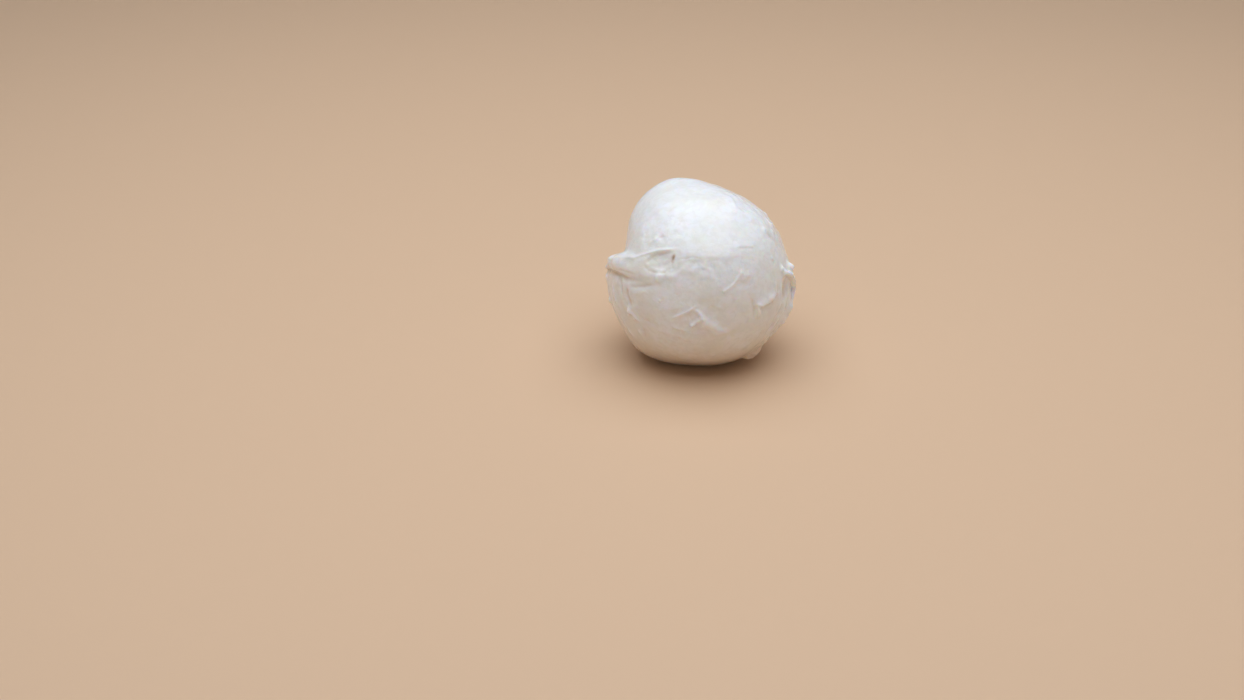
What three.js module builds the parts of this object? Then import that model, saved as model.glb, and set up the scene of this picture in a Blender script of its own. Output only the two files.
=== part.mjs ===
// A fresh mozzarella ball: warm curd stretched over itself, pinched off by hand, and set down on its own soft
// underside. It is one piece of cheese, so it is one solid.
//
// The skin starts as an evenly divided sphere. Each of its points is then
//   1. gathered towards the lip and the other folds, where the shape needs more of them,
//   2. moved in or out by broad swells, by small lumps and pits, and by folds that run along arcs,
//   3. pressed flat where the ball comes down on its foot.
//
// Frame: millimetres, +Z up, the pinched side to the front (-Y), and the origin on the foot, right under the
// ball's middle.
import * as THREE from "three";
import { mergeVertices } from "three/addons/utils/BufferGeometryUtils.js";

// Driving dimensions, in millimetres.
const BALL_RADIUS = 36.6;
const CENTRE_HEIGHT = 33.2; // the middle of the ball above the surface that it rests on
const FOOT_ROUNDING = 1.2; // height over which the skin turns under into the flat foot
const GATHER_REACH = 5.5; // how far from a fold its gathering is felt
const KNEADING_HEIGHT = 0.22; // unevenness left by the hands
const SKIN_DIVISIONS = 24; // every edge of the starting icosahedron is cut into this many
const PLAIN_SWELL = { long: 1, turn: 0, edge: 2 };
const PLAIN_FOLD = { bow: 0, lean: 0, groove: 0, edge: 2, taper: [0.3, 0.3], gather: 0 };

// A place on the ball is [azimuth, elevation] in degrees, seen from its middle: azimuth 0 is the front and 90
// the right, and elevation is measured up from its equator.

// Swells and hollows, each with its middle, how far it spreads and how high it stands. Some are longer one
// way, which turns up from level by an angle. Edge tells how steep the sides are: 2 is a bell, 4 a flat top.
const SWELLS = [
  { name: "crown", at: [-140, 60], spread: 11, height: 3.0 },
  { name: "crown, left", at: [-112, 51], spread: 8, height: 0.8 },
  { name: "crown, front", at: [-60, 66], spread: 10, height: 0.8 },
  { name: "flattened right shoulder", at: [122, 56], spread: 12, height: -1.9 },
  { name: "right flank", at: [100, 22], spread: 13, height: -2.0 },
  { name: "sagging right belly", at: [83, -22], spread: 7, height: 2.0 },
  { name: "sagging left belly", at: [-62, -44], spread: 9, height: 1.4 },
  { name: "left flank", at: [-86, -25], spread: 9, height: -0.4 },
  { name: "sagging back", at: [175, -20], spread: 18, height: 1.2 },
  { name: "tucked under at the front", at: [0, -60], spread: 11, height: -0.9 },
  { name: "weight on the right of the foot", at: [90, -70], spread: 10, height: 0.8 },
  { name: "hollow of the pinch", at: [-27, 30], spread: 3.3, long: 1.6, turn: 19, edge: 4, height: -1.3 },
  { name: "hole at the end of the hollow", at: [-19, 34], spread: 1.2, edge: 2, height: -1.4 },
  { name: "cheek below the hollow", at: [-26, 20], spread: 2.8, long: 2.0, turn: 5, height: 0.9 },
  { name: "curds right of the pinch", at: [-8, 29], spread: 3.0, long: 1.5, height: 0.5 },
  { name: "curd on the right edge", at: [89, 8], spread: 1.7, edge: 4, height: 2.0 },
  { name: "curd beside it", at: [74, 13], spread: 1.7, edge: 4, height: 1.2 },
  { name: "hollow of the ear", at: [69, 1], spread: 2.6, long: 1.5, turn: 70, edge: 4, height: -0.8 },
  { name: "lump on the shoulder", at: [64, 44], spread: 2.6, height: 0.8 },
  { name: "pit below that lump", at: [69, 37], spread: 2.6, height: -0.8 },
  { name: "curd on the left edge", at: [-88, -1], spread: 1.6, height: 0.8 },
  { name: "curd below it", at: [-76, -12], spread: 1.8, height: 0.6 },
  { name: "curd on the left skin edge", at: [-48, -6], spread: 1.6, height: 0.7 },
  { name: "scrap low on the right", at: [33, -28], spread: 2.2, height: 0.5 },
];

// Folds run along an arc of the ball, which bows sideways. A fold rises to its height at its crest, falls
// away over one width on its upper side and over another on its lower side, and leans out over a groove below
// it. The upper side is on the left of someone who walks along it. Taper is the share of its length over
// which each end dies away, and gather is how strongly the skin's points are drawn to the crest.
const FOLDS = [
  { name: "valley pressed in above the lip", from: [-145, -11], to: [-46, 34], bow: -3, height: -6.3,
    upper: 13, lower: 2.8, taper: [0.5, 0.5] },
  { name: "lip", from: [-110, 0], to: [-18, 25], bow: 0.8, height: 1.3, upper: 3.6, lower: 2.4, lean: 0.3,
    edge: 4, taper: [0.5, 0.45], gather: 0.5 },
  { name: "crease under the lip", from: [-125, -11], to: [-20, 17], bow: 1.2, height: -1.8, upper: 1.0,
    lower: 1.6, taper: [0.35, 0.5], gather: 0.4 },
  { name: "rim above the hollow", from: [-84, 12], to: [-4, 39], bow: -0.8, height: 0.8, upper: 1.0,
    lower: 1.8, taper: [0.4, 0.3], gather: 0.5 },
  { name: "ledge that runs on from the lip", from: [-24, 34], to: [48, 32], bow: -2.0, height: 0.6,
    upper: 6.0, lower: 2.0, groove: 0.2, taper: [0.3, 0.5], gather: 0.2 },
  { name: "edge of the skin drawn down on the left", from: [-38, -30], to: [-57, 14], bow: -3.6, height: 0.6,
    upper: 5.5, lower: 0.9, lean: 0.4, groove: 0.3, taper: [0.35, 0.2], gather: 0.5 },
  { name: "long thread on the belly", from: [-17, -4], to: [5, 10], bow: 0.3, height: 0.5, upper: 1.2,
    lower: 0.8, lean: 0.4, groove: 0.4, taper: [0.2, 0.3], gather: 0.6 },
  { name: "curled scrap under the thread", from: [-5, -7], to: [-4, 5], bow: -3.0, height: 0.6, upper: 1.2,
    lower: 1.0, groove: 0.2, gather: 0.4 },
  { name: "faint thread below it", from: [-19, -7], to: [4, -14], height: 0.25, upper: 1.4, lower: 0.9,
    groove: 0.2, taper: [0.3, 0.4], gather: 0.2 },
  { name: "thread on the right", from: [14, 14], to: [35, 29], bow: 0.2, height: 0.5, upper: 1.2, lower: 0.8,
    lean: 0.4, groove: 0.4, taper: [0.2, 0.3], gather: 0.6 },
  { name: "top edge of the torn flap", from: [36, -1], to: [58, 8], bow: -0.5, height: 1.0, upper: 0.8,
    lower: 4.5, lean: -0.4, taper: [0.2, 0.3], gather: 0.6 },
  { name: "left edge of the torn flap", from: [39, -20], to: [33, 9], bow: -0.3, height: 0.4, upper: 0.7,
    lower: 3.5, taper: [0.4, 0.15], gather: 0.4 },
  { name: "torn ear", from: [66, 7], to: [80, -16], bow: 8.0, height: 1.8, upper: 1.4, lower: 1.6, edge: 4,
    taper: [0.5, 0.3], gather: 0.5 },
  { name: "skin that trails down from the ear", from: [70, 5], to: [50, -38], height: 0.7, upper: 5.0,
    lower: 0.9, groove: 0.2, taper: [0.3, 0.3], gather: 0.3 },
  { name: "skirt of skin at the foot", from: [46, -56], to: [74, -32], height: 2.8, upper: 2.0, lower: 1.6,
    taper: [0.3, 0.5], gather: 0.4 },
  { name: "upper skin edge on the right shoulder", from: [84, 52], to: [82, 78], bow: 4.6, height: 0.4,
    upper: 4.5, lower: 0.9, groove: 0.25, taper: [0.25, 0.3], gather: 0.3 },
  { name: "short ledge on the right", from: [25, 41], to: [46, 36], bow: 0.3, height: 0.3, upper: 2.5,
    lower: 0.9, groove: 0.15 },
  { name: "slanting crease at the upper left", from: [-39, 75], to: [-48, 50], bow: 0.7, height: 0.3,
    upper: 3.5, lower: 1.0, groove: 0.2, gather: 0.2 },
  { name: "crease down to the lip", from: [-66, 50], to: [-42, 31], bow: -0.8, height: 0.35, upper: 1.2,
    lower: 3.0, groove: 0.2, gather: 0.2 },
  { name: "stretch line over the back", from: [110, 22], to: [-150, 34], bow: 3, height: 0.5, upper: 5.0,
    lower: 1.3, lean: 0.3, groove: 0.2, taper: [0.4, 0.4], gather: 0.3 },
  { name: "stretch line low on the back", from: [-112, -14], to: [158, -30], bow: -3, height: 0.4, upper: 1.3,
    lower: 5.0, groove: 0.2, taper: [0.4, 0.4], gather: 0.3 },
];

// Kneading leaves shallow waves that cross the ball in different directions.
const KNEADING_WAVES = 7;
const FIRST_WAVE = 2.6; // radians of the longest wave for each ball radius
const WAVE_STEP = 1.3; // each wave is this many times shorter than the one before it
const GOLDEN_ANGLE = Math.PI * (3 - Math.sqrt(5));

const CURD_WHITE = new THREE.MeshStandardMaterial({ color: 0xf3f2ec, roughness: 0.35, metalness: 0 });

/** The unit vector from the middle of the ball to a place on it. */
function direction([azimuth, elevation]) {
  const turn = THREE.MathUtils.degToRad(azimuth);
  const rise = THREE.MathUtils.degToRad(elevation);
  const out = Math.cos(rise);
  return new THREE.Vector3(Math.sin(turn) * out, -Math.cos(turn) * out, Math.sin(rise));
}

/** A hump that is 1 in its middle and dies away past its width. */
function bell(distance, width, edge = 2) {
  return Math.exp(-(Math.abs(distance / width) ** edge));
}

/** A swell with its middle laid out, and the ways along it and across it. */
function layOutSwell(swell) {
  const laidOut = { ...PLAIN_SWELL, ...swell, middle: direction(swell.at) };
  const level = new THREE.Vector3(-laidOut.middle.y, laidOut.middle.x, 0).normalize();
  laidOut.along = level.applyAxisAngle(laidOut.middle, THREE.MathUtils.degToRad(laidOut.turn));
  laidOut.across = new THREE.Vector3().crossVectors(laidOut.middle, laidOut.along);
  return laidOut;
}

/** A fold with its arc laid out: its start, the way it runs, its upper side and its angle. */
function layOutFold(fold) {
  const start = direction(fold.from);
  const end = direction(fold.to);
  const upperSide = new THREE.Vector3().crossVectors(start, end).normalize();
  const onward = new THREE.Vector3().crossVectors(upperSide, start);
  return { ...PLAIN_FOLD, ...fold, start, onward, upperSide, angle: start.angleTo(end) };
}

/** How far a point is from the middle of a swell, in millimetres, where its long way counts for less. */
function fromSwell(swell, point) {
  const away = point.clone().sub(swell.middle);
  const alongShare = away.dot(swell.along) / swell.long;
  return BALL_RADIUS * Math.hypot(alongShare, away.dot(swell.across), away.dot(swell.middle));
}

/** How strong a fold is at a point, from 0 to 1, and how far above its crest the point is, in millimetres. */
function besideFold(fold, point) {
  const share = Math.atan2(point.dot(fold.onward), point.dot(fold.start)) / fold.angle;
  const [first, last] = fold.taper;
  const { smoothstep } = THREE.MathUtils;
  const strength = smoothstep(share, 0, first) * (1 - smoothstep(share, 1 - last, 1));
  const side = BALL_RADIUS * Math.asin(point.dot(fold.upperSide)) - fold.bow * 4 * share * (1 - share);
  return { strength, side };
}

/** The shallow waves of kneading at a point, in millimetres. */
function kneading(point) {
  let height = 0;
  for (let i = 0; i < KNEADING_WAVES; i += 1) {
    const up = 1 - (2 * i + 1) / KNEADING_WAVES;
    const out = Math.sqrt(1 - up * up);
    const way = new THREE.Vector3(out * Math.cos(GOLDEN_ANGLE * i), out * Math.sin(GOLDEN_ANGLE * i), up);
    const shorter = WAVE_STEP ** i;
    height += (KNEADING_HEIGHT / Math.sqrt(shorter)) * Math.sin(FIRST_WAVE * shorter * point.dot(way) + i);
  }
  return height;
}

/** The larger of a height and zero, with a rounded turn between the two that is flat below it. */
function pressedFlat(height) {
  const overlap = Math.max(FOOT_ROUNDING - Math.abs(height), 0);
  return Math.max(height, 0) + overlap ** 2 / (4 * FOOT_ROUNDING);
}

const SWELL_SPOTS = SWELLS.map(layOutSwell);
const FOLD_ARCS = FOLDS.map(layOutFold);

/** The place on the skin, in millimetres, of one point of the unit sphere. */
function skin(spherePoint) {
  const point = spherePoint.clone();
  for (const fold of FOLD_ARCS) {
    const { strength, side } = besideFold(fold, point);
    const pull = fold.gather * strength * bell(side, GATHER_REACH) * side;
    point.addScaledVector(fold.upperSide, -pull / BALL_RADIUS).normalize();
  }

  let height = kneading(point);
  for (const swell of SWELL_SPOTS) {
    height += swell.height * bell(fromSwell(swell, point), swell.spread, swell.edge);
  }
  const lean = new THREE.Vector3();
  for (const fold of FOLD_ARCS) {
    const { strength, side } = besideFold(fold, point);
    const crest = strength * bell(side, side > 0 ? fold.upper : fold.lower, fold.edge);
    const under = strength * bell(side + 2 * fold.lower, fold.lower);
    height += fold.height * crest - fold.groove * under;
    lean.addScaledVector(fold.upperSide, -fold.lean * crest);
  }

  const place = point.multiplyScalar(BALL_RADIUS + height).add(lean);
  place.z = pressedFlat(place.z + CENTRE_HEIGHT);
  return place;
}

/** A unit sphere of even triangles whose neighbours share their corners. */
function evenSphere() {
  const sphere = new THREE.IcosahedronGeometry(1, SKIN_DIVISIONS - 1);
  sphere.deleteAttribute("normal");
  sphere.deleteAttribute("uv");
  return mergeVertices(sphere);
}

function mozzarellaBall() {
  const geometry = evenSphere();
  const corners = geometry.getAttribute("position");
  for (let i = 0; i < corners.count; i += 1) {
    const place = skin(new THREE.Vector3().fromBufferAttribute(corners, i).normalize());
    corners.setXYZ(i, place.x, place.y, place.z);
  }
  geometry.computeVertexNormals();
  const ball = new THREE.Mesh(geometry, CURD_WHITE);
  ball.name = "mozzarella_ball";
  return ball;
}

const part = new THREE.Group();
part.add(mozzarellaBall());

export default part;
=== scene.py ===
"""A fresh mozzarella ball of about 200 g, resting on its own flattened underside."""

import itertools

import bpy
import numpy as np
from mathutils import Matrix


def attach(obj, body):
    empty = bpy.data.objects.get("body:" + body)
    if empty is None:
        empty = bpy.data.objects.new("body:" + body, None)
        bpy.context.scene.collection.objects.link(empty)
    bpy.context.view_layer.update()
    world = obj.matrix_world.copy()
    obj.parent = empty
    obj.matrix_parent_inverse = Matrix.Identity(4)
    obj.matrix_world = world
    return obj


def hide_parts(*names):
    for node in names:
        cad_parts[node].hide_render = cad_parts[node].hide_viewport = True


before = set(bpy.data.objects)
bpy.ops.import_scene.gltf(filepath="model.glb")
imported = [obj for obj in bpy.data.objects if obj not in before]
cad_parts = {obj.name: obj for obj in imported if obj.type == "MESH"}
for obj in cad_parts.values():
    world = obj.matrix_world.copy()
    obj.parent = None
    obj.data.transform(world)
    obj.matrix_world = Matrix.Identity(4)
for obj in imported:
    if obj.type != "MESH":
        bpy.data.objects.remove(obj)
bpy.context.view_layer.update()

# ----------------------------------------------------------------------------------------------------------
# The ball. Warm curd is stretched, folded over itself and pinched off by hand, which leaves a lip with a
# hollow in it, threads, and torn scraps of skin. Its skin is a sphere of even cells whose corners are moved
# by the swells, folds and roughness below. All its sizes are in millimetres until the mesh is made.

MILLIMETRE = 0.001
BALL_RADIUS = 36.6
CENTRE_HEIGHT = 33.2  # the middle of the ball above the surface that it rests on
FOOT_ROUNDING = 1.2  # height over which the skin turns under into the flat foot
SKIN_CELLS = 128  # cells along each side of the cube that the sphere is blown up from
FRONT_CLOSENESS = 0.78  # the cells' size at the front, where the detail is, as a share of their mean size


def direction(azimuth, elevation):
    """The unit vector to a place on the ball: azimuth 0 is the front and 90 the right, elevation is up.

    It is the sine of the azimuth to the right and its cosine to the front, both times the cosine of the
    elevation, and the sine of the elevation upwards.
    """
    turn, rise = np.radians([azimuth, elevation])
    return np.array([np.sin(turn) * np.cos(rise), -np.cos(turn) * np.cos(rise), np.sin(rise)])


def unit(vectors):
    """Each vector divided by its own length."""
    return vectors / np.linalg.norm(vectors, axis=-1, keepdims=True)


def ramp(value, low, high):
    """0 below low and 1 above high, with the smooth step 3t^2 - 2t^3 between them."""
    t = np.clip((value - low) / (high - low), 0, 1)
    return t * t * (3 - 2 * t)


def bell(distance, width, edge=2):
    """exp(-(distance / width)^edge): 1 in the middle, dying away past the width, steeply for a high edge."""
    return np.exp(-np.abs(distance / width) ** edge)


def random_field(points, cell, seed):
    """A smooth random value, mostly from -1 to 1, at each point of the unit sphere.

    A lattice of cells, sized in millimetres on the ball and turned at random, holds a random slope at each of
    its corners. The value blends the heights that the eight slopes round a point give there.
    """
    corners, gain = 32, 1.7  # the lattice repeats after so many corners, and the gain brings most values to 1
    random = np.random.default_rng(seed)
    slopes = unit(random.normal(size=(corners, corners, corners, 3)))
    turned = np.linalg.qr(random.normal(size=(3, 3)))[0]
    place = points @ turned * (BALL_RADIUS / cell) + 0.5
    whole = np.floor(place).astype(int)
    inner = place - whole
    blend = ramp(inner, 0, 1)
    total = np.zeros(len(points))
    for corner in itertools.product((0, 1), repeat=3):
        share = np.prod(np.where(corner, blend, 1 - blend), axis=-1)
        x, y, z = ((whole + corner) % corners).T
        total += share * np.sum(slopes[x, y, z] * (inner - corner), axis=-1)
    return gain * total


def swell(azimuth, elevation, spread, height, long=1.0, turn=0.0, edge=2):
    """A swell or hollow: its middle, how far it spreads, how high it stands, and how steep its sides are.

    It may be longer one way, which turns up from level by an angle in degrees.
    """
    middle = direction(azimuth, elevation)
    level = unit(np.array([-middle[1], middle[0], 0]))
    rise = np.cross(middle, level)
    tilt = np.radians(turn)
    return {
        "middle": middle, "along": np.cos(tilt) * level + np.sin(tilt) * rise,
        "across": np.cos(tilt) * rise - np.sin(tilt) * level,
        "spread": spread, "height": height, "long": long, "edge": edge,
    }


ARC_POINTS, CURVE_POINTS = 200, 40  # points along an arc, and between two places of a line
LINE_STEP = 0.4  # between the points that a fold's line is then laid out with
GATHER_WIDTHS, GATHER_LIMITS = 3, (1.5, 5.5)  # a fold gathers skin over some widths, within these limits


def arc(start, end, bow=0):
    """Points along the great circle between two places, bowed to its left by 4s(1 - s) of the bow."""
    first, last = direction(*start), direction(*end)
    left = unit(np.cross(first, last))
    angle = np.arccos(first @ last)
    share = np.linspace(0, 1, ARC_POINTS)[:, None]
    way = np.cos(share * angle) * first + np.sin(share * angle) * np.cross(left, first)
    return unit(way + bow * 4 * share * (1 - share) / BALL_RADIUS * left)


def line(*places):
    """Points along a smooth line through all the places: the Catmull-Rom cubic between each pair."""
    knots = np.array([direction(*place) for place in places])
    knots = np.concatenate([[2 * knots[0] - knots[1]], knots, [2 * knots[-1] - knots[-2]]])
    t = np.linspace(0, 1, CURVE_POINTS, endpoint=False)[:, None]
    parts = [b + 0.5 * t * (c - a + t * (2 * a - 5 * b + 4 * c - d + t * (3 * b - a - 3 * c + d)))
             for a, b, c, d in zip(knots, knots[1:], knots[2:], knots[3:])]
    return unit(np.concatenate([*parts, knots[-2:-1]]))


def fold(way, height, upper=1.0, lower=1.0, lean=0.0, groove=0.0, taper=(0.3, 0.3), gather=0.0, edge=2,
         wander=0.0, broken=0.0):
    """A fold, thread or crease along a line on the ball.

    It rises to its height at its crest, falls away over one width on its upper side, left of someone who
    walks along it, and over another on its lower side, and leans out over a groove below it. Edge is how
    steep its sides are, and taper the share of its length over which each end dies away. Gather draws the
    skin's corners to the crest, wander is how far the crest strays from the line, and broken is how much
    weaker it is in its weak stretches.
    """
    walked = np.append(0, np.cumsum(BALL_RADIUS * np.linalg.norm(np.diff(way, axis=0), axis=1)))
    stops = np.linspace(0, walked[-1], max(int(walked[-1] / LINE_STEP), 4))
    way = unit(np.stack([np.interp(stops, walked, axis) for axis in way.T], axis=1))
    onward = unit(np.gradient(way, axis=0))
    middle = unit(way.mean(axis=0))
    return {
        "way": way, "onward": onward, "upper_side": unit(np.cross(way, onward)), "step": stops[1],
        "middle": middle, "half_angle": np.arccos(np.min(way @ middle)), "height": height, "upper": upper,
        "lower": lower, "lean": lean, "groove": groove, "taper": taper, "gather": gather, "edge": edge,
        "wander": wander, "broken": broken,
        "gather_reach": np.clip(GATHER_WIDTHS * max(upper, lower), *GATHER_LIMITS),
    }


# The body: swells and hollows of the whole ball, the valley and lip of the pinch, and the widest folds.
BODY_SWELLS = [
    swell(-140, 60, 11, 3.0),  # crown
    swell(-112, 51, 8, 0.8),
    swell(-60, 66, 10, 0.8),
    swell(122, 56, 12, -1.9),  # flattened right shoulder
    swell(100, 22, 13, -2.0),  # right flank
    swell(83, -22, 7, 2.0),  # the belly sags outwards
    swell(-62, -44, 9, 1.4),
    swell(-86, -25, 9, -0.4),
    swell(175, -20, 18, 1.2),
    swell(0, -60, 11, -0.9),  # tucked under at the front
    swell(90, -70, 10, 0.8),
]
BODY_FOLDS = [
    fold(arc((-145, -11), (-46, 34), -3), -6.3, upper=13, lower=2.8, taper=(0.5, 0.5)),  # valley over the lip
    fold(arc((-110, 0), (-18, 25), 0.8), 1.1, upper=3.6, lower=4.2, lean=0.3, edge=4, taper=(0.5, 0.45),
         gather=0.3),  # lip
    fold(line((-112, -6), (-90, 3), (-74, 10), (-61, 13), (-51, 14), (-43, 15), (-36, 15), (-28, 14)), -1.1,
         upper=0.7, lower=1.8, taper=(0.3, 0.5), gather=0.4, wander=0.25),  # crease under it
    fold(arc((-24, 34), (48, 32), -2), 0.45, upper=6, lower=1.8, taper=(0.3, 0.5), gather=0.2, wander=0.5),
    fold(arc((50, -53), (69, -37)), 2.2, upper=1.5, lower=1.3, taper=(0.3, 0.5), gather=0.5, wander=1.0,
         broken=0.35),  # scrap at the foot
    fold(arc((110, 22), (-150, 34), 3), 0.4, upper=5, lower=1.4, lean=0.1, groove=0.1, taper=(0.4, 0.4),
         gather=0.2, wander=1.2, broken=0.5),  # stretch lines over the back
    fold(arc((-112, -14), (158, -30), -3), 0.35, upper=1.4, lower=5, groove=0.1, taper=(0.4, 0.4), gather=0.2,
         wander=1.2, broken=0.4),
    fold(arc((150, 12), (-128, 6), 2), 0.25, upper=1.0, lower=2.5, groove=0.1, gather=0.2, wander=1.2,
         broken=0.4),
]

# The pinch: a thin rim over an eye-shaped hollow with a small brown hole at its right end, curds beside and
# below it, and lines where the lip closes on the skin.
PINCH_SWELLS = [
    swell(-28, 30, 3.1, -0.95, long=1.6, turn=19, edge=4),  # hollow
    swell(-24, 31, 1.2, 0.25, long=1.6, turn=30),  # curds in the hollow
    swell(-32, 28, 0.9, 0.2, long=1.4, turn=-20),
    swell(-19, 34, 0.5, -0.38, long=1.5, turn=70, edge=3),  # hole
    swell(-26, 21, 1.7, 0.5, long=1.3, turn=80, edge=3),  # curds below the hollow
    swell(-18, 23, 1.2, 0.35, long=1.9, turn=5),
    swell(-36, 20, 1.6, 0.25, long=1.5),
    swell(-67, 18, 1.7, 0.35, long=1.4, turn=30),  # bumps on the nose
    swell(-76, 14, 1.2, 0.3),
    swell(-60, 21, 1.1, 0.25),
    swell(-80, 16, 2.4, 0.8, edge=3),
    swell(-90, 3, 2.2, 0.8, edge=3),
    swell(-70, 12, 1.6, 0.4, long=1.4),
    swell(-52, 24, 1.6, -0.25, long=2.0, turn=20),
    swell(-10, 31, 1.4, 0.25, long=1.5),  # curds right of the hollow
    swell(-4, 28, 1.3, 0.25, long=1.7, turn=20),
    swell(4, 30, 1.5, 0.2, long=1.4, turn=-30),
    swell(-12, 27, 1.2, 0.25, long=1.6, turn=40),
    swell(-4, 34, 1.0, 0.15, long=1.5),
]
PINCH_FOLDS = [
    fold(line((-64, 22), (-55, 26), (-48, 28), (-41, 32), (-32, 36), (-24, 38), (-12, 39)), 0.35, upper=0.6,
         lower=0.6, taper=(0.3, 0.3), gather=0.5, wander=0.2),  # rim
    fold(line((-122, -4), (-104, 4), (-86, 13), (-66, 21)), 0.3, upper=0.8, lower=0.8, taper=(0.4, 0.2),
         gather=0.3, wander=0.6, broken=0.5),  # ridge along the far end of the lip
    fold(line((-40, 26), (-37, 29), (-33, 33), (-28, 35), (-23, 36), (-18, 36)), -0.3, upper=0.5, lower=1.0,
         taper=(0.2, 0.2), gather=0.3, wander=0.3, broken=0.4),  # upper and lower edges of the hollow
    fold(line((-40, 26), (-36, 24), (-31, 23), (-25, 24), (-20, 27), (-17, 31)), -0.3, upper=0.9, lower=0.7,
         taper=(0.15, 0.4), gather=0.3, wander=0.3, broken=0.3),
    fold(line((-18, 33), (-11, 34), (-4, 35), (6, 33)), -0.18, upper=0.4, lower=0.6, taper=(0.2, 0.5),
         gather=0.3, wander=0.3, broken=0.5),  # line that runs on from the hole
    fold(line((-19, 34), (-20, 30)), -0.25, upper=0.5, lower=0.5, gather=0.2),
    fold(line((-66, 14), (-56, 17), (-48, 18), (-41, 18)), -0.25, upper=0.4, lower=0.6, taper=(0.3, 0.4),
         gather=0.3, wander=0.25, broken=0.3),  # lines where the lip closes on the skin below it
    fold(line((-50, 8), (-43, 11), (-37, 13), (-30, 15), (-22, 17)), -0.38, upper=0.9, lower=1.1,
         taper=(0.25, 0.4), gather=0.3, wander=0.3, broken=0.2),
]

# The left flank: folds of skin drawn down from the lip, and a scrap where they tear.
LEFT_SWELLS = [
    swell(-86, 0, 1.6, 0.65, long=1.5, turn=30),  # curds on the edge
    swell(-76, -12, 1.6, 0.6, edge=4),
    swell(-62, 6, 1.0, 0.3, long=1.6, turn=80),
    swell(-48, -7, 1.0, 0.8, long=1.6, turn=60),  # torn scrap
    swell(-45, -12, 0.7, 0.45),
    swell(-50, -11, 0.6, 0.35),
    swell(-41, -20, 1.5, 0.3, long=1.6, turn=80),
    swell(-24, 7, 0.5, 0.35),
    swell(-20, -22, 0.9, 0.2),
    swell(-44, 2, 1.8, -0.25, long=1.5, turn=80),
]
LEFT_FOLDS = [
    fold(line((-58, 12), (-56, 8), (-54, 3), (-52, -3)), -0.5, upper=0.8, lower=0.8, taper=(0.2, 0.5),
         gather=0.3, wander=0.35, broken=0.2),  # creases drawn down from the lip
    fold(line((-50, 9), (-49, 4), (-47, 0), (-44, -5)), -0.6, upper=0.8, lower=0.9, taper=(0.2, 0.4),
         gather=0.3, wander=0.35, broken=0.2),
    fold(line((-69, 8), (-67, 2), (-63, -4), (-58, -10)), 0.55, upper=1.7, lower=1.5, wander=0.6, broken=0.3),
    fold(line((-50, -4), (-47, -7), (-43, -9), (-39, -12), (-37, -16)), 0.6, upper=0.8, lower=1.2, lean=0.2,
         groove=0.25, taper=(0.3, 0.5), gather=0.3, wander=0.6, broken=0.3),  # edge that it is torn from
    fold(line((-42, -2), (-38, -8), (-32, -9), (-26, -10)), -0.3, upper=0.8, lower=0.7, wander=0.5,
         gather=0.2, broken=0.4),
    fold(line((-38, -15), (-37, -20), (-38, -27)), -0.45, upper=1.0, lower=0.8, taper=(0.3, 0.5), gather=0.2,
         wander=0.4, broken=0.3),
    fold(line((-62, -10), (-54, -22), (-48, -34)), 0.25, upper=2.5, lower=0.9, wander=0.8),
    fold(line((-38, 9), (-35, 10), (-31, 9)), 0.15, upper=0.5, lower=0.5, wander=0.3),
    fold(line((-30, 4), (-22, 2), (-12, 5), (-6, 9)), 0.2, upper=1.8, lower=1.2, wander=0.8, broken=0.4),
]

# The belly: a long thread, a curled scrap under it, and the shelf of skin that the scrap was torn from.
BELLY_SWELLS = [
    swell(-3.5, -6.5, 0.7, 0.8, long=1.5, turn=35),  # end of the scrap
    swell(1.5, -2, 1.0, 0.5, long=1.3, turn=-60),
    swell(-6, 0, 1.8, -0.3, long=1.7, turn=35),
    swell(5, 6, 2.5, -0.25, long=1.6, turn=-20),
    swell(23, 9, 1.2, 0.2),
    swell(33, -28, 2.2, 0.5),
    swell(12, -34, 0.9, 0.3, long=1.8, turn=60),
    swell(21, -33, 0.7, 0.2),
    swell(-10, -14, 1.6, -0.2, long=1.6, turn=-20),
]
BELLY_FOLDS = [
    fold(line((-17, -3.5), (-11, 0), (-6, 3), (0, 7.5)), 0.42, upper=0.4, lower=0.7, groove=0.05,
         taper=(0.25, 0.25), gather=0.6, wander=0.08),  # thread
    fold(line((-4, 3), (-1, 3), (1, 1), (2, -1), (2, -4)), 0.7, upper=0.9, lower=0.7, groove=0.1,
         taper=(0.3, 0.2), gather=0.4, wander=0.25, broken=0.15),  # curled scrap
    fold(line((3, -3), (-1, -4), (-5, -7.5)), 0.45, upper=0.8, lower=0.7, groove=0.1, taper=(0.3, 0.2),
         gather=0.4, wander=0.2),
    fold(line((1, -3), (5, -5), (8, -7), (12, -10), (17, -11), (24, -11)), 1.0, upper=1.9, lower=2.2,
         taper=(0.15, 0.5), gather=0.2, wander=0.8, broken=0.2),  # shelf
    fold(line((-17, -8), (-12, -10), (-9, -10.5), (-5, -12)), 0.28, upper=0.6, lower=0.5, groove=0.1,
         gather=0.3, wander=0.2, broken=0.2),
    fold(line((-34, -16), (-20, -14), (-8, -17), (4, -20)), 0.3, upper=2.5, lower=1.3, taper=(0.4, 0.4),
         wander=1.2, broken=0.4),
    fold(line((7, 8), (10, 6), (15, 4)), 0.2, upper=1.2, lower=0.7, gather=0.2, wander=0.3),
    fold(line((23, -15), (19, -22), (15, -31)), 0.2, upper=0.8, lower=0.7, taper=(0.3, 0.4), wander=0.4,
         broken=0.4),
    fold(line((29, -18), (24, -27), (18, -36)), -0.25, upper=0.8, lower=0.8, taper=(0.3, 0.4), wander=0.4,
         broken=0.4),
]

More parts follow.
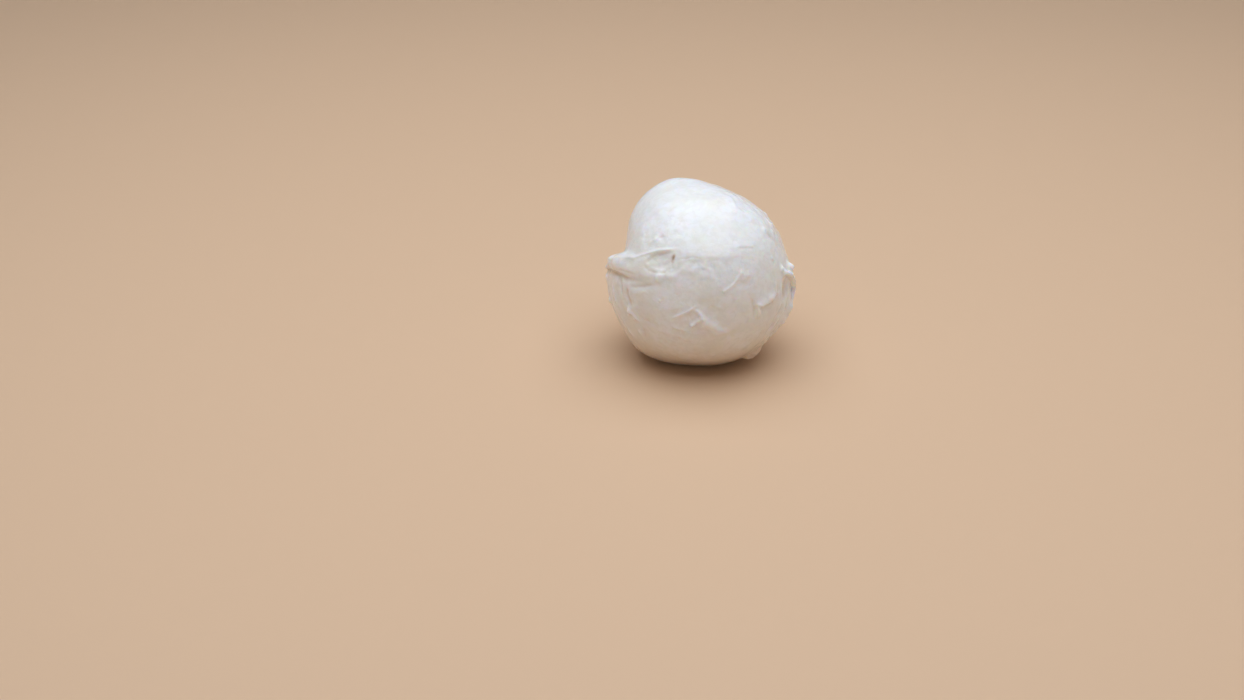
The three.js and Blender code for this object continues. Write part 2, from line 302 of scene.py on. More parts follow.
# The right side: a second thread, a torn flap with a drip, the ear with the two curds above it, and the
# wrinkled skin that trails down from them to a ragged scrap at the foot.
RIGHT_SWELLS = [
    swell(15, 15, 0.6, 0.3),  # end of the thread
    swell(33, 22, 1.3, 0.25, long=1.4),
    swell(28, 24, 0.9, 0.2),
    swell(29, 17, 1.5, -0.3, long=2.2, turn=-10),
    swell(49, 4, 1.2, 0.3, long=1.8, turn=15),
    swell(42, 3, 0.9, 0.2, long=1.4, turn=60),
    swell(46, -4, 3.0, -0.4, long=1.5),
    swell(79, 12, 1.9, 2.4, edge=2.5),  # curds
    swell(66, 16, 1.3, 1.0, edge=2.5),
    swell(69, 2, 3.9, -1.3, long=1.1, turn=80, edge=3),  # hollow of the ear
    swell(80, -15, 1.7, 1.0, long=1.3, turn=70),
    swell(58, 26, 0.8, 0.3),
    swell(58, 23, 0.7, -0.3),
    swell(60, -5, 1.2, 0.4, long=1.8, turn=80),
    swell(68, -12, 1.5, 0.5, long=1.5, turn=70),
    swell(73, -22, 1.3, 0.4, long=1.4, turn=60),
]
RIGHT_FOLDS = [
    fold(line((14, 14), (19, 17), (22, 19), (25, 22), (28, 25), (31, 29)), 0.3, upper=0.4, lower=0.9,
         taper=(0.15, 0.5), gather=0.6, wander=0.1),  # thread
    fold(line((28, 40), (35, 39), (44, 37)), 0.14, upper=1.6, lower=0.5, groove=0.08, taper=(0.2, 0.2),
         gather=0.3, wander=0.15),  # short ledge
    fold(line((35, 4), (40, 1), (44, 1), (48, 1), (52, 3), (56, 8)), 0.7, upper=2.1, lower=0.5, lean=0.2,
         groove=0.25, taper=(0.25, 0.4), gather=0.4, wander=1.0, broken=0.3),  # torn flap
    fold(line((36.5, 6), (38.5, 0), (39.5, -8)), 0.65, upper=1.1, lower=0.8, taper=(0.4, 0.35), gather=0.3,
         wander=0.15),  # drip
    fold(line((33, 9), (34, 5), (35, 0), (35, -5), (37, -10)), -0.35, upper=0.5, lower=0.9, taper=(0.2, 0.5),
         gather=0.3, wander=0.2),
    fold(line((55, 13), (55, 8), (55, 2)), 0.35, upper=0.6, lower=0.6, gather=0.3, wander=0.25, broken=0.3),
    fold(line((50, 0), (48, -10), (45, -22), (41, -32)), -0.25, upper=0.9, lower=0.8, wander=0.6, broken=0.4),
    fold(line((61, 11), (60, 3), (62, -6)), 0.3, upper=0.8, lower=0.6, gather=0.2, wander=0.2),
    fold(line((64, 12), (70, 12), (78, 7), (85, 0), (88, -6), (85, -12), (79, -16)), 1.9, upper=1.0,
         lower=0.9, lean=0.6, edge=3, taper=(0.2, 0.35), gather=0.4, wander=0.35),  # ear
    fold(line((66, -4), (61, -14), (55, -26), (48, -38)), 0.4, upper=3.0, lower=0.9, lean=-0.2, groove=0.15,
         gather=0.2, wander=1.3, broken=0.5),  # skin that trails down from the ear
    fold(line((78, -16), (74, -25), (69, -34), (64, -42)), 0.35, upper=1.0, lower=0.9, gather=0.2, wander=0.9,
         broken=0.4),
]

# The upper side: the smooth cap ends at a skin edge on the right, with rough, wrinkled curd beyond it, and
# slanting creases run over it on the left.
UPPER_SWELLS = [
    swell(67, 43, 1.4, 0.45, long=1.3, turn=60),
    swell(69, 37, 1.2, -0.4, long=2.0, turn=-60),
    swell(-33, 44, 0.7, -0.3, long=1.6, turn=40),
    swell(-38, 42, 0.8, 0.25, long=1.6, turn=40),
    swell(-40, 37, 1.4, -0.2, long=1.8),
    swell(-10, 83, 0.9, -0.2, long=2.4),
    swell(-17, 57, 0.7, -0.12, long=3.0, turn=8),
]
UPPER_FOLDS = [
    fold(line((84, 78), (69, 70), (59, 65), (57, 62), (62, 58), (68, 52), (71, 46)), 0.3, upper=1.1,
         lower=2.8, taper=(0.25, 0.3), gather=0.2, wander=1.1, broken=0.45),  # edge of the cap
    fold(line((-37, 73), (-42, 65), (-45, 59), (-49, 52), (-52, 45)), -0.25, upper=0.9, lower=2.0,
         taper=(0.3, 0.5), wander=0.7, broken=0.4),
    fold(line((-24, 66), (-34, 54), (-42, 44)), 0.2, upper=2.5, lower=1.2, wander=0.7, broken=0.4),
    fold(line((-66, 50), (-54, 42), (-42, 31)), 0.25, upper=1.0, lower=2.5, wander=0.7, broken=0.4),
    fold(line((-52, 60), (-60, 50), (-64, 40)), -0.2, upper=1.2, lower=1.2, wander=0.7, broken=0.4),
]


def wrinkles(count, seed, azimuths, elevations, heading, length, height, width):
    """Short random folds and creases within a stretch of skin, all drawn out roughly one way.

    The heading is in degrees up from level. Each wrinkle turns off it and bends by a few random degrees. Its
    length, height and widths are random shares of the given ones, and about half of them are creases.
    """
    most_turn, most_bend = 20, 15
    random = np.random.default_rng(seed)
    folds = []
    for _ in range(count):
        start = np.array([random.uniform(*azimuths), random.uniform(*elevations)])
        turn = np.radians(heading + random.uniform(-most_turn, most_turn))
        bend = np.radians(random.uniform(-most_bend, most_bend))
        half = np.degrees(length * random.uniform(0.5, 1.2) / BALL_RADIUS) / 2
        stretch = 1 / np.cos(np.radians(start[1]))
        way = [start]
        for angle in (turn, turn + bend):
            way.append(way[-1] + half * np.array([np.cos(angle) * stretch, np.sin(angle)]))
        folds.append(fold(line(*way), height * random.choice([-1, 1]) * random.uniform(0.5, 1.0),
                          upper=width * random.uniform(0.6, 1.4), lower=width * random.uniform(0.6, 1.4),
                          taper=(0.4, 0.4), wander=0.5, broken=0.4))
    return folds


def lumps(count, seed, azimuths, elevations, spread, height):
    """Small random lumps, and dents that are less deep, within a stretch of skin.

    The size and height of each are random shares of the given ones, and it is longer some random way.
    """
    random = np.random.default_rng(seed)
    return [swell(random.uniform(*azimuths), random.uniform(*elevations), spread * random.uniform(0.6, 1.4),
                  height * random.choice([-0.7, 1]) * random.uniform(0.5, 1), long=random.uniform(1, 1.8),
                  turn=random.uniform(0, 180)) for _ in range(count)]


WRINKLES = [
    *wrinkles(16, 41, (32, 76), (-36, -4), 235, 9, 0.25, 0.9),  # from the ear down to the foot
    *wrinkles(8, 42, (-72, -34), (-32, 0), 290, 8, 0.18, 1.2),  # from the lip down
    *wrinkles(5, 43, (78, 112), (30, 64), 120, 6, 0.3, 2.0),  # beyond the edge of the cap
    *wrinkles(8, 44, (-66, -24), (38, 60), 40, 9, 0.16, 1.2),  # over the cap on the left
    *wrinkles(10, 47, (-130, -86), (-12, 22), 25, 9, 0.25, 1.0),  # over the far end of the lip
    *wrinkles(9, 45, (-16, 20), (22, 34), 10, 5, 0.14, 0.9),  # right of the pinch
    *wrinkles(26, 46, (100, 250), (-30, 45), 10, 10, 0.22, 1.0),  # round the back
]
LUMPS = [
    *lumps(26, 51, (60, 115), (20, 68), 1.3, 0.35),  # beyond the edge of the cap
    *lumps(14, 52, (-34, 16), (18, 34), 1.0, 0.22),  # round the pinch
    *lumps(12, 53, (44, 80), (-40, 8), 1.2, 0.3),  # below and beside the ear
    *lumps(12, 54, (-84, -40), (-30, 8), 1.2, 0.25),  # left flank
    *lumps(10, 55, (-10, 40), (-30, 0), 1.2, 0.2),  # belly
    *lumps(16, 56, (-60, 50), (36, 78), 1.5, 0.1),  # cap
    *lumps(14, 58, (-128, -84), (-14, 12), 1.7, 0.35),  # far end of the lip
    *lumps(40, 57, (105, 265), (-40, 60), 1.5, 0.25),  # back
]

SWELLS = BODY_SWELLS + PINCH_SWELLS + LEFT_SWELLS + BELLY_SWELLS + RIGHT_SWELLS + UPPER_SWELLS + LUMPS
FOLDS = BODY_FOLDS + PINCH_FOLDS + LEFT_FOLDS + BELLY_FOLDS + RIGHT_FOLDS + UPPER_FOLDS + WRINKLES

ROUGH_PATCHES = [  # where the skin is torn and curdled: a swell of roughness, its grain, and its seed
    (swell(0, 29, 4.0, 0.13, long=2.6), 2.0, 11),
    (swell(-25, 28, 4.0, 0.11, long=2.0), 1.5, 12),
    (swell(-70, 15, 5.0, 0.12, long=1.5, turn=20), 1.8, 22),
    (swell(88, 58, 9, 0.28, long=1.7, turn=80, edge=4), 3.0, 13),
    (swell(64, 40, 7, 0.15, long=1.3, turn=80), 2.2, 14),
    (swell(78, 0, 9, 0.15, long=1.5, turn=80), 2.4, 15),
    (swell(48, -6, 7, 0.10, long=1.5), 2.0, 16),
    (swell(0, -3, 6, 0.10, long=1.5), 1.8, 17),
    (swell(-42, 42, 7, 0.12, long=1.6, turn=20), 2.2, 18),
    (swell(-50, -12, 9, 0.10, long=1.8, turn=80), 2.0, 19),
    (swell(62, -40, 6, 0.5, long=1.8, turn=60, edge=4), 1.9, 20),
    (swell(-165, 25, 14, 0.15, long=1.4, turn=10), 2.6, 21),
    (swell(130, 0, 10, 0.15, long=1.4, turn=70), 2.4, 23),
]


def cube_sphere(cells):
    """Corners and four-sided cells of a unit sphere, blown up from a cube.

    Each side of the cube is a square grid whose lines stand at even angles, tan(angle) across the flat side,
    and every corner is then moved to distance 1. Corners on the cube's edges belong to two or three sides and
    are merged by their whole-number places.
    """
    steps = np.arange(cells + 1)
    across, along = np.meshgrid(steps, steps, indexing="ij")
    corner = np.arange((cells + 1) ** 2).reshape(cells + 1, cells + 1)
    ring = np.stack([corner[:-1, :-1], corner[1:, :-1], corner[1:, 1:], corner[:-1, 1:]], axis=-1)
    lattice, quads = [], []
    for axis, end in itertools.product(range(3), (0, cells)):
        side = np.empty((cells + 1, cells + 1, 3), dtype=int)
        side[..., axis] = end
        side[..., (axis + 1) % 3] = across
        side[..., (axis + 2) % 3] = along
        outward = ring if end else ring[..., ::-1]
        quads.append(outward.reshape(-1, 4) + len(lattice) * corner.size)
        lattice.append(side.reshape(-1, 3))
    places, merged = np.unique(np.concatenate(lattice), axis=0, return_inverse=True)
    return unit(np.tan((places / cells - 0.5) * np.pi / 2)), merged.reshape(-1)[np.concatenate(quads)]


def drawn_closer(points, closeness):
    """The unit sphere's points moved round it towards the front, where the cells shrink to closeness.

    Seen from the point at the back, the sphere unrolls to a plane, and that plane is shrunk by closeness: the
    tangent of half the angle from the front is multiplied by it. Cells stay square, and those at the back
    grow by as much as those at the front shrink.
    """
    front = -points[:, 1]
    near, far = 1 + front, closeness**2 * (1 - front)
    moved = np.stack([2 * closeness * points[:, 0], far - near, 2 * closeness * points[:, 2]], axis=1)
    return moved / (near + far)[:, None]


WANDER_FIELDS = [(3.5, 1.0, 31), (1.3, 0.4, 32)]  # cell, share and seed of the ways that a crest strays
BREAK_CELL, BREAK_SEED = 3.0, 33  # of the field that weakens a fold


def beside_fold(crease, points, reach):
    """The points within reach of a fold, how strong it is there, how far above its crest each point lies,
    and which way is up from the crest.

    Each is taken at the fold's nearest step: the distance above is the part of the way from the step to the
    point that goes up from the crest. The crest strays from its line by a random field with a weaker and
    finer one on top, and the fold weakens where a third one rises.
    """
    angle = crease["half_angle"] + reach / BALL_RADIUS
    near = np.flatnonzero(points @ crease["middle"] > np.cos(min(angle, np.pi)))
    nearest = np.argmax(points[near] @ crease["way"].T, axis=1)
    away = BALL_RADIUS * (points[near] - crease["way"][nearest])
    upper_side = crease["upper_side"][nearest]
    share = nearest + np.sum(away * crease["onward"][nearest], axis=1) / crease["step"]
    share /= len(crease["way"]) - 1
    first, last = crease["taper"]
    strength = ramp(share, 0, first) * (1 - ramp(share, 1 - last, 1))
    side = np.sum(away * upper_side, axis=1)
    if crease["wander"]:
        for cell, portion, seed in WANDER_FIELDS:
            side += crease["wander"] * portion * random_field(points[near], cell, seed)
    if crease["broken"]:
        weak = ramp(random_field(points[near], BREAK_CELL, BREAK_SEED), -0.2, 0.5)
        strength *= 1 - crease["broken"] * weak
    return near, strength, side, upper_side


def from_swell(lump, points):
    """How far each point is from the middle of a swell, where the swell's long way counts for less."""
    away = points - lump["middle"]
    square = (away @ lump["along"] / lump["long"]) ** 2 + (away @ lump["across"]) ** 2
    return BALL_RADIUS * np.sqrt(square + (away @ lump["middle"]) ** 2)


def kneading(points):
    """Shallow waves left by the hands: sines along directions spread by the golden angle, ever shorter."""
    waves, depth, first_wave, step = 7, 0.22, 2.6, 1.3
    golden_angle = np.pi * (3 - np.sqrt(5))
    height = np.zeros(len(points))
    for i in range(waves):
        up = 1 - (2 * i + 1) / waves
        out = np.sqrt(1 - up * up)
        way = np.array([out * np.cos(golden_angle * i), out * np.sin(golden_angle * i), up])
        height += depth / np.sqrt(step**i) * np.sin(first_wave * step**i * (points @ way) + i)
    return height


def pull_from_pinch(points):
    """Coordinates of the stretched curd's grain, which fans out from the pinch and closes at its far side.

    The first two are the cosine and sine of the angle round the pinch, and the third is the angle away from
    it, so a pattern that is even in them is drawn out into streaks away from the pinch.
    """
    pinch = direction(-38, 28)
    level = unit(np.cross((0, 0, 1), pinch))
    off = points - (points @ pinch)[:, None] * pinch
    length = np.linalg.norm(off, axis=1, keepdims=True).clip(1e-6)
    return np.concatenate([off @ np.stack([level, np.cross(pinch, level)], axis=1) / length,
                           np.arctan2(length, (points @ pinch)[:, None])], axis=1)


LOW_LUMPS = [(9, 0.16, 4), (4, 0.06, 5), (1.7, 0.02, 6)]  # cell, height and seed, as in the others below
SKIN_STREAKS = (1.6, 0.03, 7)
STREAK_SHRINK = (0.55, 0.55, 0.09)  # of the pull's coordinates: streaks are six times as long as wide
STREAKS_BEGIN = (0.3, 0.9)  # how far from the pinch they fade in, in radians
SPARSE_GRAINS = (2.0, 0.14, 8)
GRAINS_BEGIN = (0.75, 1.0)  # the values of their field between which they rise
FILMS = [(12, 0.08, 9, 0.20, 0.26), (8, 0.06, 10, 0.35, 0.43)]  # with the values that a film rises between
FRAYING, FRAY_CELL, FRAY_SEEDS = 0.012, 2.5, (1, 2, 3)  # how far ragged edges stray, in ball radii
FINE_GRAINS, TORN_STEPS = 0.4, 0.3  # in a torn patch, next to its grains
TORN_CELL = 2.5  # of the torn steps, next to a patch's grain


def roughness(points):
    """Fine unevenness, in millimetres.

    Low lumps of three sizes lie everywhere, with streaks along the pull. Sparse grains stand where a random
    field passes a threshold, and on the back, thin films of skin end in low ragged steps where a broad one
    does. A torn patch adds grains, finer ones of half their size, and steps.
    """
    fraying = np.stack([random_field(points, FRAY_CELL, seed) for seed in FRAY_SEEDS], axis=1)
    ragged = points + FRAYING * fraying
    height = sum(rise * random_field(points, cell, seed) for cell, rise, seed in LOW_LUMPS)
    pull = pull_from_pinch(points)
    cell, rise, seed = SKIN_STREAKS
    streaks = random_field(pull * STREAK_SHRINK, cell, seed)
    height += rise * ramp(pull[:, 2], *STREAKS_BEGIN) * streaks
    cell, rise, seed = SPARSE_GRAINS
    height += rise * ramp(random_field(points, cell, seed), *GRAINS_BEGIN)
    behind = ramp(points[:, 1], -0.1, 0.3)
    for cell, rise, seed, low, high in FILMS:
        height += rise * behind * ramp(random_field(ragged, cell, seed), low, high)
    for patch, grain, seed in ROUGH_PATCHES:
        strength = patch["height"] * bell(from_swell(patch, points), patch["spread"], patch["edge"])
        grains = random_field(ragged, grain, seed) + FINE_GRAINS * random_field(ragged, grain / 2, seed + 20)
        torn = ramp(random_field(ragged, grain * TORN_CELL, seed + 40), 0.0, 0.15)
        height += strength * (grains + TORN_STEPS * torn)
    return height


def pressed_flat(height):
    """The larger of a height h and zero, with a turn of half-height r between the two: (r - |h|)^2 / 4r is
    added within r of zero.
    """
    overlap = np.maximum(FOOT_ROUNDING - np.abs(height), 0)
    return np.maximum(height, 0) + overlap**2 / (4 * FOOT_ROUNDING)


GATHER_REACH = 2.2  # times the distance over which a fold gathers skin, past which nothing moves


def gathered(points):
    """The unit sphere's points drawn sideways towards the folds, where more of them are needed.

    Each moves by a share of its distance from the crest, which dies away with a bell.
    """
    points = points.copy()
    for crease in FOLDS:
        if crease["gather"]:
            reach = GATHER_REACH * crease["gather_reach"]
            near, strength, side, upper_side = beside_fold(crease, points, reach)
            pull = crease["gather"] * strength * bell(side, crease["gather_reach"]) * side / BALL_RADIUS
            points[near] = unit(points[near] - pull[:, None] * upper_side)
    return points


FOLD_REACH, GROOVE_REACH = 3, 5.1  # widths of a fold past which its crest and its groove have died away
FINE_SWELL, FINE_FOLD = 2, 3  # narrower ones get painted shade in their hollows and a painted highlight on their crests


def curd_skin(points):
    """The place of each point of the unit sphere on the skin, in millimetres, how deep it is in a crease, and
    how high on a crest.

    The height above the ball's radius is the kneading and roughness, plus a bell for each swell and fold,
    less a bell for each groove, two lower widths below the crest. Folds also shift the skin sideways.
    """
    height = kneading(points) + roughness(points)
    hollow, crested = np.zeros(len(points)), np.zeros(len(points))
    for lump in SWELLS:
        rise = lump["height"] * bell(from_swell(lump, points), lump["spread"], lump["edge"])
        height += rise
        # narrow dents and grooves are kept for painted shade, and narrow crests for a painted highlight
        if lump["spread"] < FINE_SWELL:
            hollow -= np.minimum(rise, 0)
            crested += np.maximum(rise, 0)
    lean = np.zeros_like(points)
    for crease in FOLDS:
        reach = max(FOLD_REACH * crease["upper"], GROOVE_REACH * crease["lower"])
        near, strength, side, upper_side = beside_fold(crease, points, reach)
        width = np.where(side > 0, crease["upper"], crease["lower"])
        crest = strength * bell(side, width, crease["edge"])
        under = strength * crease["groove"] * bell(side + 2 * crease["lower"], crease["lower"])
        height[near] += crease["height"] * crest - under
        if crease["upper"] < FINE_FOLD:
            hollow[near] += under - min(crease["height"], 0) * crest
            crested[near] += max(crease["height"], 0) * crest
        lean[near] -= (crease["lean"] * crest)[:, None] * upper_side

    place = points * (BALL_RADIUS + height)[:, None] + lean
    place[:, 2] = pressed_flat(place[:, 2] + CENTRE_HEIGHT)
    return place, hollow, crested


STAINS_AND_SHADE = [  # brown where whey has dried in the hole; the weaker ones, in the ear's hollow and small pits, are painted shade
    swell(-19, 34, 0.7, 0.5, long=1.5, turn=75, edge=3),
    swell(-19, 31.5, 0.6, 0.3, long=1.8, turn=85),
    # painted shade: the ear's hollow, a small pit above it, and a crease under the lip
    swell(68, 1, 2.4, 0.3, long=1.5, turn=80, edge=3),
    swell(70, 36, 1.3, 0.2, long=2.2, turn=-60),
    swell(-59, 10, 0.9, 0.15, long=1.5),
]


def make_ball():
    """The skin as a mesh of four-sided cells, which is closed all round.

    Its corners carry how deep they lie in a crease, how high on a crest, how stained with whey or painted
    with shade they are, and the coordinates of the curd's grain.
    """
    sphere, cells = cube_sphere(SKIN_CELLS)
    points = gathered(drawn_closer(sphere, FRONT_CLOSENESS))
    place, hollow, crested = curd_skin(points)
    stain_and_shade = sum(mark["height"] * bell(from_swell(mark, points), mark["spread"], mark["edge"])
                for mark in STAINS_AND_SHADE)
    mesh = bpy.data.meshes.new("curd_ball")
    mesh.from_pydata((place * MILLIMETRE).tolist(), [], cells.tolist())
    mesh.polygons.foreach_set("use_smooth", np.ones(len(cells), dtype=bool))
    for name, amount in (("hollow", hollow), ("crested", crested), ("stain_and_shade", stain_and_shade)):
        mesh.attributes.new(name, "FLOAT", "POINT").data.foreach_set("value", amount.astype(np.float32))
    pull = pull_from_pinch(points).astype(np.float32)
    mesh.attributes.new("pull", "FLOAT_VECTOR", "POINT").data.foreach_set("vector", pull.ravel())
    piece = bpy.data.objects.new("curd_ball", mesh)
    bpy.context.scene.collection.objects.link(piece)
    return piece


curd_ball = make_ball()

# Fresh mozzarella: stretched, milky curd that light goes into, under a film of whey. To the eye it is white
# with soft wet highlights and creamier patches, faintly streaked along the pull, and whey has dried to brown
# in the hole of the pinch. Its colour also holds painted light: warm painted shade in narrow creases and
# hollows, the ear's hollow, small pits and a band above the foot, and a painted highlight on narrow crests.

CURD_WHITE = "#F7F7F6"
CURD_IOR, WHEY_IOR = 1.36, 1.34
LIGHT_DEPTH = 1.8  # how far red light goes into the curd, in millimetres
DEPTH_SHARES = (1.0, 0.75, 0.55)  # for red, green and blue
PAINTED_SHADE_HEIGHT = 24  # of the band of painted warm shade above the foot, in millimetres
RELIEF_HEIGHT = 0.11  # of the fine bumps, in millimetres
GRAIN_SHARE, STREAK_SHARE = 0.15, 0.2  # of the relief, next to the knots
STREAK_CELL = 1.28  # of the streaks' noise, in millimetres at the widest ring round the pinch
STREAK_STRETCH = (1.0, 1.0, 0.25)  # the pull's third coordinate shrinks, so they are four times as long
WET_SKIN = (0.30, 0.48)  # roughness, from wet to nearly dry
NOISES = {  # the size of their cells in millimetres, their detail and their distortion
    "cream": (14, 3.0, 0.4), "mottle": (2.4, 3.0, 0.5), "dry": (7, 3.0, 0.6), "knots": (1.8, 3.0, 0.5),
    "grains": (0.5, 2.0, 0.0),
}


def linear(sheet_colour):
    """An sRGB hex colour as linear red, green, blue and alpha 1."""
    channels = np.array([int(sheet_colour[i : i + 2], 16) for i in (1, 3, 5)]) / 255
    bright = ((channels + 0.055) / 1.055) ** 2.4
    return (*np.where(channels <= 0.04045, channels / 12.92, bright), 1.0)


def add_node(tree, kind, inputs=(), **settings):
    """Adds a node with its settings. Inputs are (name or number, value or another node's output) pairs."""
    node = tree.nodes.new(kind)
    for name, value in settings.items():
        setattr(node, name, value)
    for name, value in inputs:
        if isinstance(value, bpy.types.NodeSocket):
            tree.links.new(value, node.inputs[name])
        else:
            node.inputs[name].default_value = value
    return node


def make_curd():
    """The curd's colour is white with tints laid over it one by one, each where its value rises smoothly.

    Its relief is knots and grains, with streaks that are drawn out four times along the pull and fade near
    the pinch.
    """
    material = bpy.data.materials.new("fresh_mozzarella_curd")
    material.use_nodes = True
    tree = material.node_tree
    tree.nodes.clear()
    place = add_node(tree, "ShaderNodeTexCoord").outputs["Object"]
    height = add_node(tree, "ShaderNodeSeparateXYZ", [(0, place)]).outputs["Z"]
    hollow, crested, stain_and_shade = [add_node(tree, "ShaderNodeAttribute", attribute_name=name).outputs["Fac"]
                              for name in ("hollow", "crested", "stain_and_shade")]
    noise = {name: add_node(tree, "ShaderNodeTexNoise", [
        ("Vector", place), ("Scale", 1 / (cell * MILLIMETRE)), ("Detail", detail), ("Distortion", distortion),
    ]).outputs["Fac"] for name, (cell, detail, distortion) in NOISES.items()}

    colour = linear(CURD_WHITE)
    for value, low, high, share_at_low, share_at_high, tint in (
        (noise["cream"], 0.4, 0.65, 0.0, 1.0, "#F3F1EB"),
        (noise["mottle"], 0.42, 0.62, 0.0, 0.5, "#ECEAE4"),
        # painted highlight: narrow crests are painted whiter
        (crested, 0.1, 0.6, 0.0, 1.0, "#FFFFFF"),
        # painted warm shade: the colour darkens and warms towards the foot, most at the bottom
        (height, 0.0, PAINTED_SHADE_HEIGHT * MILLIMETRE, 0.75, 0.0, "#E2C7A6"),
        # painted shade: narrow creases, grooves and dents are painted a warmer, darker tint
        (hollow, 0.1, 0.8, 0.0, 0.8, "#E6D4BF"),
    ):
        share = add_node(tree, "ShaderNodeMapRange", [
            ("Value", value), ("From Min", low), ("From Max", high), ("To Min", share_at_low),
            ("To Max", share_at_high),
        ], interpolation_type="SMOOTHSTEP").outputs["Result"]
        colour = add_node(tree, "ShaderNodeMix", [(0, share), (6, colour), (7, linear(tint))],
                          data_type="RGBA").outputs[2]
    # brown where whey has dried in the hole, and painted shade in the ear's hollow and small pits
    whey_stain_and_shade = add_node(tree, "ShaderNodeMix", [(0, stain_and_shade), (6, colour), (7, linear("#B08040"))],
                          data_type="RGBA")
    wetness = add_node(tree, "ShaderNodeMapRange", [
        ("Value", noise["dry"]), ("From Min", 0.35), ("From Max", 0.65), ("To Min", WET_SKIN[0]),
        ("To Max", WET_SKIN[1]),
    ], interpolation_type="SMOOTHSTEP")

    pull = add_node(tree, "ShaderNodeAttribute", attribute_name="pull").outputs["Vector"]
    away = add_node(tree, "ShaderNodeSeparateXYZ", [(0, pull)])
    fade = add_node(tree, "ShaderNodeMapRange", [
        ("Value", away.outputs["Z"]), ("From Min", 0.4), ("From Max", 1.0), ("To Min", 0.0),
        ("To Max", STREAK_SHARE),
    ], interpolation_type="SMOOTHSTEP")
    drawn = add_node(tree, "ShaderNodeVectorMath", [(0, pull), (1, STREAK_STRETCH)], operation="MULTIPLY")
    lines = add_node(tree, "ShaderNodeTexNoise", [("Vector", drawn.outputs["Vector"]),
                                                  ("Scale", BALL_RADIUS / STREAK_CELL), ("Detail", 2.0)])
    streaks = add_node(tree, "ShaderNodeMath", [(0, lines.outputs["Fac"]), (1, fade.outputs["Result"])],
                       operation="MULTIPLY")
    knots = add_node(tree, "ShaderNodeMath", [(0, noise["knots"]), (1, streaks.outputs["Value"])],
                     operation="ADD")
    relief = add_node(tree, "ShaderNodeMath", [(0, noise["grains"]), (1, GRAIN_SHARE),
                                               (2, knots.outputs["Value"])], operation="MULTIPLY_ADD")
    bump = add_node(tree, "ShaderNodeBump", [("Height", relief.outputs["Value"]), ("Strength", 1.0),
                                             ("Distance", RELIEF_HEIGHT * MILLIMETRE)])

    skin = add_node(tree, "ShaderNodeBsdfPrincipled", [
        ("Base Color", whey_stain_and_shade.outputs[2]),
        ("Roughness", wetness.outputs["Result"]),
        ("Normal", bump.outputs["Normal"]),
        ("IOR", CURD_IOR),
        ("Subsurface Weight", 1.0),
        ("Subsurface Radius", DEPTH_SHARES),
        ("Subsurface Scale", LIGHT_DEPTH * MILLIMETRE),
        ("Coat Weight", 0.7),
        ("Coat Roughness", 0.14),
        ("Coat IOR", WHEY_IOR),
    ])
    add_node(tree, "ShaderNodeOutputMaterial", [("Surface", skin.outputs["BSDF"])])
    return material


curd_ball.data.materials.append(make_curd())
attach(curd_ball, "root")
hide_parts("mozzarella_ball")

# ----------------------------------------------------------------------------------------------------------
# The studio: a plain sand-coloured floor, white paper that sweeps up from it into a wall all round, one wide
# softbox straight above, and weak light from everywhere. Its sizes are in metres.

FLOOR_RADIUS, SWEEP_RADIUS, WALL_HEIGHT = 0.8, 0.6, 1.6
FLOOR_START = 0.0005  # the floor's first ring, just off its middle and under the ball
FLOOR_RINGS, SWEEP_STEPS, TURN_STEPS = 14, 24, 96
PAPER_ROUGHNESS = 0.7
SOFTBOX_HEIGHT, SOFTBOX_SIDE, SOFTBOX_WATTS = 0.8, 1.1, 9.7
ROOM_LIGHT = 0.03


def turned(name, radius, height, colour):
    """A stage surface of plain paper: a profile of radii and heights turned round the upright axis."""
    turn = np.linspace(0, 2 * np.pi, TURN_STEPS, endpoint=False)
    rings = np.stack([radius[:, None] * np.cos(turn), radius[:, None] * np.sin(turn),
                      np.repeat(height[:, None], TURN_STEPS, axis=1)], axis=-1)
    place = np.arange(len(radius) * TURN_STEPS).reshape(len(radius), TURN_STEPS)
    following = np.roll(place, -1, axis=1)
    cells = np.stack([place[:-1], place[1:], following[1:], following[:-1]], axis=-1).reshape(-1, 4)
    mesh = bpy.data.meshes.new(name)
    mesh.from_pydata(rings.reshape(-1, 3).tolist(), [], cells.tolist())
    mesh.polygons.foreach_set("use_smooth", np.ones(len(cells), dtype=bool))
    paper = bpy.data.materials.new(name + "_paper")
    paper.use_nodes = True
    paper.node_tree.nodes["Principled BSDF"].inputs["Base Color"].default_value = linear(colour)
    paper.node_tree.nodes["Principled BSDF"].inputs["Roughness"].default_value = PAPER_ROUGHNESS
    mesh.materials.append(paper)
    stage = bpy.data.objects.new(name, mesh)
    bpy.context.scene.collection.objects.link(stage)


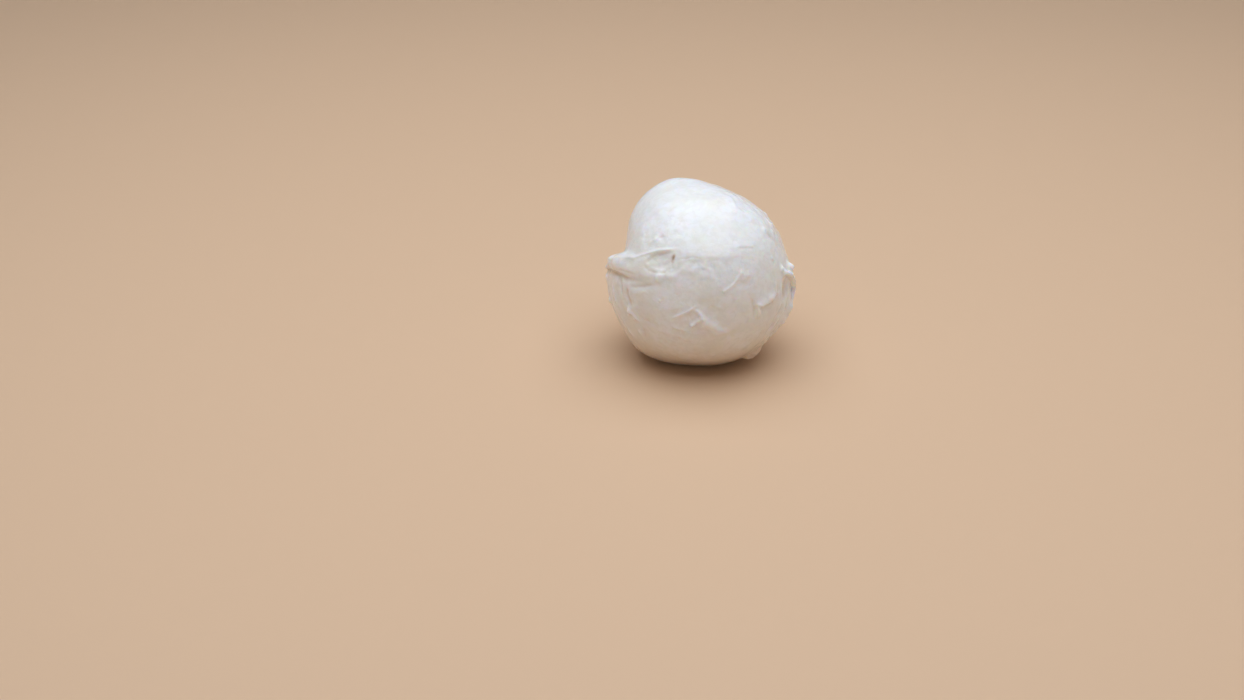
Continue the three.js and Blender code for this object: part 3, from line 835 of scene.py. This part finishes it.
bend = np.linspace(0, np.pi / 2, SWEEP_STEPS)
turned("floor", np.linspace(FLOOR_START, FLOOR_RADIUS, FLOOR_RINGS), np.zeros(FLOOR_RINGS), "#DAB896")
turned("wall", np.append(FLOOR_RADIUS + SWEEP_RADIUS * np.sin(bend), FLOOR_RADIUS + SWEEP_RADIUS),
       np.append(SWEEP_RADIUS * (1 - np.cos(bend)), WALL_HEIGHT), "#F4F4F2")

world = bpy.data.worlds.new("studio")
bpy.context.scene.world = world
world.use_nodes = True
world.node_tree.nodes["Background"].inputs["Color"].default_value = linear("#F4F6FA")
world.node_tree.nodes["Background"].inputs["Strength"].default_value = ROOM_LIGHT

lamp = bpy.data.lights.new("overhead_softbox", "AREA")
lamp.size = SOFTBOX_SIDE
lamp.energy = SOFTBOX_WATTS
lamp.color = linear("#EFF5FF")[:3]
softbox = bpy.data.objects.new("overhead_softbox", lamp)
softbox.location = (0, 0, SOFTBOX_HEIGHT)
bpy.context.scene.collection.objects.link(softbox)

# The camera looks down on the middle of the ball, and is tipped and turned so that the ball stands above and
# right of the middle of the picture.

PICTURE_WIDTH, FOCAL_LENGTH = 1244, 1800  # pixels
FILM_WIDTH = 36  # millimetres
CAMERA_DISTANCE, CAMERA_RISE = 0.7116, 24.5  # metres and degrees, from the middle of the ball
CAMERA_TIP, CAMERA_TURN = 26.885, 2.7  # degrees down from level, and to the left of straight on

camera = bpy.data.cameras.new("camera")
camera.sensor_width = FILM_WIDTH
camera.lens = FOCAL_LENGTH / PICTURE_WIDTH * FILM_WIDTH
camera.clip_start = 0.01
viewer = bpy.data.objects.new("camera", camera)
rise = np.radians(CAMERA_RISE)
viewer.location = (0, -CAMERA_DISTANCE * np.cos(rise),
                   CAMERA_DISTANCE * np.sin(rise) + CENTRE_HEIGHT * MILLIMETRE)
viewer.rotation_euler = np.radians((90 - CAMERA_TIP, 0, CAMERA_TURN))
bpy.context.scene.collection.objects.link(viewer)
bpy.context.scene.camera = viewer
bpy.context.scene.view_settings.view_transform = "Standard"
